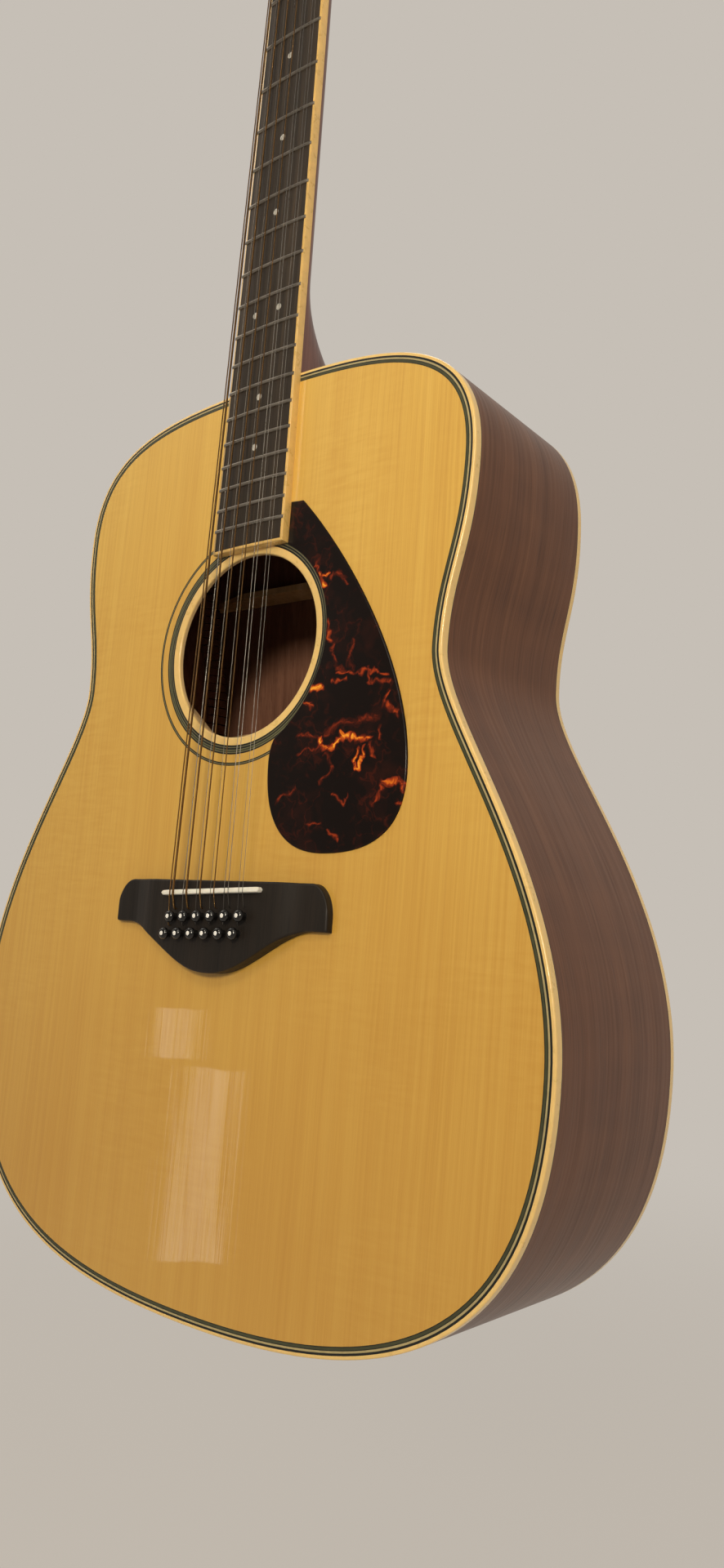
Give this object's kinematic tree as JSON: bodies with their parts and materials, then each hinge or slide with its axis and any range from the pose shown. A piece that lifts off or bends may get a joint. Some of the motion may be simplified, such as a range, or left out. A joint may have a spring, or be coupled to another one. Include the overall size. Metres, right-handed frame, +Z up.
{
  "type": "twelve-string acoustic guitar",
  "caption": "Dreadnought acoustic guitar with paired strings, pinned bridge, bound body, teardrop pickguard and worm tuners whose knobs turn the string posts.",
  "frame": {"origin": "centre of the nut's front edge, in the plane the fingerboard is glued on, where a wall hanger's yoke holds the neck under the headstock", "axes": "+Z up the neck towards the headstock, -Y out of the soundboard towards the player's audience, +X to the treble side"},
  "size_m": [0.4056, 0.137, 1.0462],
  "materials": {
    "spruce": "natural spruce under clear gloss, aged amber",
    "mahogany": "red-brown straight grain, clear gloss",
    "neck_wood": "red-brown, satin",
    "rosewood": "dark open grain, bare",
    "brace_wood": "bare spruce",
    "cream_plastic": "cream binding under gloss",
    "tortoiseshell": "dark tortoiseshell with red and orange veins, polished",
    "bone": "off-white, satin",
    "black_plastic": "black, polished",
    "nickel": "nickel plated",
    "bronze_wound": "bronze winding",
    "plain_steel": "plain steel"
  },
  "bodies": {
    "body": {"soundboard": "spruce", "back_plate": "mahogany", "side_bass": "mahogany", "side_treble": "mahogany", "top_binding": "cream_plastic", "back_binding": "cream_plastic", "head_block": "brace_wood", "tail_block": "brace_wood", "x_brace": "brace_wood", "transverse_brace": "brace_wood", "back_bracing": "brace_wood", "bridge_plate": "neck_wood", "bridge": "rosewood", "bridge_pins": "black_plastic", "saddle": "bone", "pickguard": "tortoiseshell", "neck": "neck_wood", "fingerboard": "rosewood", "frets": "nickel", "nut": "bone", "truss_rod": "plain_steel", "end_pin": "black_plastic", "tuner_plate_bass": "nickel", "tuner_plate_treble": "nickel", "string_E3_octave": "bronze_wound", "string_E2": "bronze_wound", "string_A3_octave": "plain_steel", "string_A2": "bronze_wound", "string_D4_octave": "plain_steel", "string_D3": "bronze_wound", "string_G4_octave": "plain_steel", "string_G3": "bronze_wound", "string_B3_left": "plain_steel", "string_B3_right": "plain_steel", "string_E4_left": "plain_steel", "string_E4_right": "plain_steel"},
    "post_E3_octave": {"post_E3_octave": "nickel"},
    "knob_E3_octave": {"knob_E3_octave": "nickel"},
    "post_E2": {"post_E2": "nickel"},
    "knob_E2": {"knob_E2": "nickel"},
    "post_A3_octave": {"post_A3_octave": "nickel"},
    "knob_A3_octave": {"knob_A3_octave": "nickel"},
    "post_A2": {"post_A2": "nickel"},
    "knob_A2": {"knob_A2": "nickel"},
    "post_D4_octave": {"post_D4_octave": "nickel"},
    "knob_D4_octave": {"knob_D4_octave": "nickel"},
    "post_D3": {"post_D3": "nickel"},
    "knob_D3": {"knob_D3": "nickel"},
    "post_G4_octave": {"post_G4_octave": "nickel"},
    "knob_G4_octave": {"knob_G4_octave": "nickel"},
    "post_G3": {"post_G3": "nickel"},
    "knob_G3": {"knob_G3": "nickel"},
    "post_B3_left": {"post_B3_left": "nickel"},
    "knob_B3_left": {"knob_B3_left": "nickel"},
    "post_B3_right": {"post_B3_right": "nickel"},
    "knob_B3_right": {"knob_B3_right": "nickel"},
    "post_E4_left": {"post_E4_left": "nickel"},
    "knob_E4_left": {"knob_E4_left": "nickel"},
    "post_E4_right": {"post_E4_right": "nickel"},
    "knob_E4_right": {"knob_E4_right": "nickel"}
  },
  "joints": [
    {"name": "knob_E3_octave_turn", "type": "hinge", "parent": "body", "child": "knob_E3_octave", "pos_m": [-0.024, 0.02313, 0.01725], "axis": [1, 0, 0], "continuous": true},
    {"name": "post_E3_octave_turn", "type": "hinge", "parent": "body", "child": "post_E3_octave", "pos_m": [-0.024, 0.02531, 0.02599], "axis": [0, -0.9703, 0.2419], "continuous": true},
    {"name": "knob_E2_turn", "type": "hinge", "parent": "body", "child": "knob_E2", "pos_m": [-0.024, 0.02942, 0.04248], "axis": [1, 0, 0], "continuous": true},
    {"name": "post_E2_turn", "type": "hinge", "parent": "body", "child": "post_E2", "pos_m": [-0.024, 0.0316, 0.05121], "axis": [0, -0.9703, 0.2419], "continuous": true},
    {"name": "knob_A3_octave_turn", "type": "hinge", "parent": "body", "child": "knob_A3_octave", "pos_m": [-0.024, 0.03571, 0.06771], "axis": [1, 0, 0], "continuous": true},
    {"name": "post_A3_octave_turn", "type": "hinge", "parent": "body", "child": "post_A3_octave", "pos_m": [-0.024, 0.03789, 0.07644], "axis": [0, -0.9703, 0.2419], "continuous": true},
    {"name": "knob_A2_turn", "type": "hinge", "parent": "body", "child": "knob_A2", "pos_m": [-0.024, 0.042, 0.09294], "axis": [1, 0, 0], "continuous": true},
    {"name": "post_A2_turn", "type": "hinge", "parent": "body", "child": "post_A2", "pos_m": [-0.024, 0.04418, 0.10167], "axis": [0, -0.9703, 0.2419], "continuous": true},
    {"name": "knob_D4_octave_turn", "type": "hinge", "parent": "body", "child": "knob_D4_octave", "pos_m": [-0.024, 0.04829, 0.11816], "axis": [1, 0, 0], "continuous": true},
    {"name": "post_D4_octave_turn", "type": "hinge", "parent": "body", "child": "post_D4_octave", "pos_m": [-0.024, 0.05047, 0.1269], "axis": [0, -0.9703, 0.2419], "continuous": true},
    {"name": "knob_D3_turn", "type": "hinge", "parent": "body", "child": "knob_D3", "pos_m": [-0.024, 0.05458, 0.14339], "axis": [1, 0, 0], "continuous": true},
    {"name": "post_D3_turn", "type": "hinge", "parent": "body", "child": "post_D3", "pos_m": [-0.024, 0.05676, 0.15212], "axis": [0, -0.9703, 0.2419], "continuous": true},
    {"name": "knob_G4_octave_turn", "type": "hinge", "parent": "body", "child": "knob_G4_octave", "pos_m": [0.024, 0.05458, 0.14339], "axis": [1, 0, 0], "continuous": true},
    {"name": "post_G4_octave_turn", "type": "hinge", "parent": "body", "child": "post_G4_octave", "pos_m": [0.024, 0.05676, 0.15212], "axis": [0, -0.9703, 0.2419], "continuous": true},
    {"name": "knob_G3_turn", "type": "hinge", "parent": "body", "child": "knob_G3", "pos_m": [0.024, 0.04829, 0.11816], "axis": [1, 0, 0], "continuous": true},
    {"name": "post_G3_turn", "type": "hinge", "parent": "body", "child": "post_G3", "pos_m": [0.024, 0.05047, 0.1269], "axis": [0, -0.9703, 0.2419], "continuous": true},
    {"name": "knob_B3_left_turn", "type": "hinge", "parent": "body", "child": "knob_B3_left", "pos_m": [0.024, 0.042, 0.09294], "axis": [1, 0, 0], "continuous": true},
    {"name": "post_B3_left_turn", "type": "hinge", "parent": "body", "child": "post_B3_left", "pos_m": [0.024, 0.04418, 0.10167], "axis": [0, -0.9703, 0.2419], "continuous": true},
    {"name": "knob_B3_right_turn", "type": "hinge", "parent": "body", "child": "knob_B3_right", "pos_m": [0.024, 0.03571, 0.06771], "axis": [1, 0, 0], "continuous": true},
    {"name": "post_B3_right_turn", "type": "hinge", "parent": "body", "child": "post_B3_right", "pos_m": [0.024, 0.03789, 0.07644], "axis": [0, -0.9703, 0.2419], "continuous": true},
    {"name": "knob_E4_left_turn", "type": "hinge", "parent": "body", "child": "knob_E4_left", "pos_m": [0.024, 0.02942, 0.04248], "axis": [1, 0, 0], "continuous": true},
    {"name": "post_E4_left_turn", "type": "hinge", "parent": "body", "child": "post_E4_left", "pos_m": [0.024, 0.0316, 0.05121], "axis": [0, -0.9703, 0.2419], "continuous": true},
    {"name": "knob_E4_right_turn", "type": "hinge", "parent": "body", "child": "knob_E4_right", "pos_m": [0.024, 0.02313, 0.01725], "axis": [1, 0, 0], "continuous": true},
    {"name": "post_E4_right_turn", "type": "hinge", "parent": "body", "child": "post_E4_right", "pos_m": [0.024, 0.02531, 0.02599], "axis": [0, -0.9703, 0.2419], "continuous": true}
  ],
  "couplings": [
    {"joint": "post_E3_octave_turn", "follows": "knob_E3_octave_turn", "ratio": -0.071429},
    {"joint": "post_E2_turn", "follows": "knob_E2_turn", "ratio": -0.071429},
    {"joint": "post_A3_octave_turn", "follows": "knob_A3_octave_turn", "ratio": -0.071429},
    {"joint": "post_A2_turn", "follows": "knob_A2_turn", "ratio": -0.071429},
    {"joint": "post_D4_octave_turn", "follows": "knob_D4_octave_turn", "ratio": -0.071429},
    {"joint": "post_D3_turn", "follows": "knob_D3_turn", "ratio": -0.071429},
    {"joint": "post_G4_octave_turn", "follows": "knob_G4_octave_turn", "ratio": -0.071429},
    {"joint": "post_G3_turn", "follows": "knob_G3_turn", "ratio": -0.071429},
    {"joint": "post_B3_left_turn", "follows": "knob_B3_left_turn", "ratio": -0.071429},
    {"joint": "post_B3_right_turn", "follows": "knob_B3_right_turn", "ratio": -0.071429},
    {"joint": "post_E4_left_turn", "follows": "knob_E4_left_turn", "ratio": -0.071429},
    {"joint": "post_E4_right_turn", "follows": "knob_E4_right_turn", "ratio": -0.071429}
  ]
}
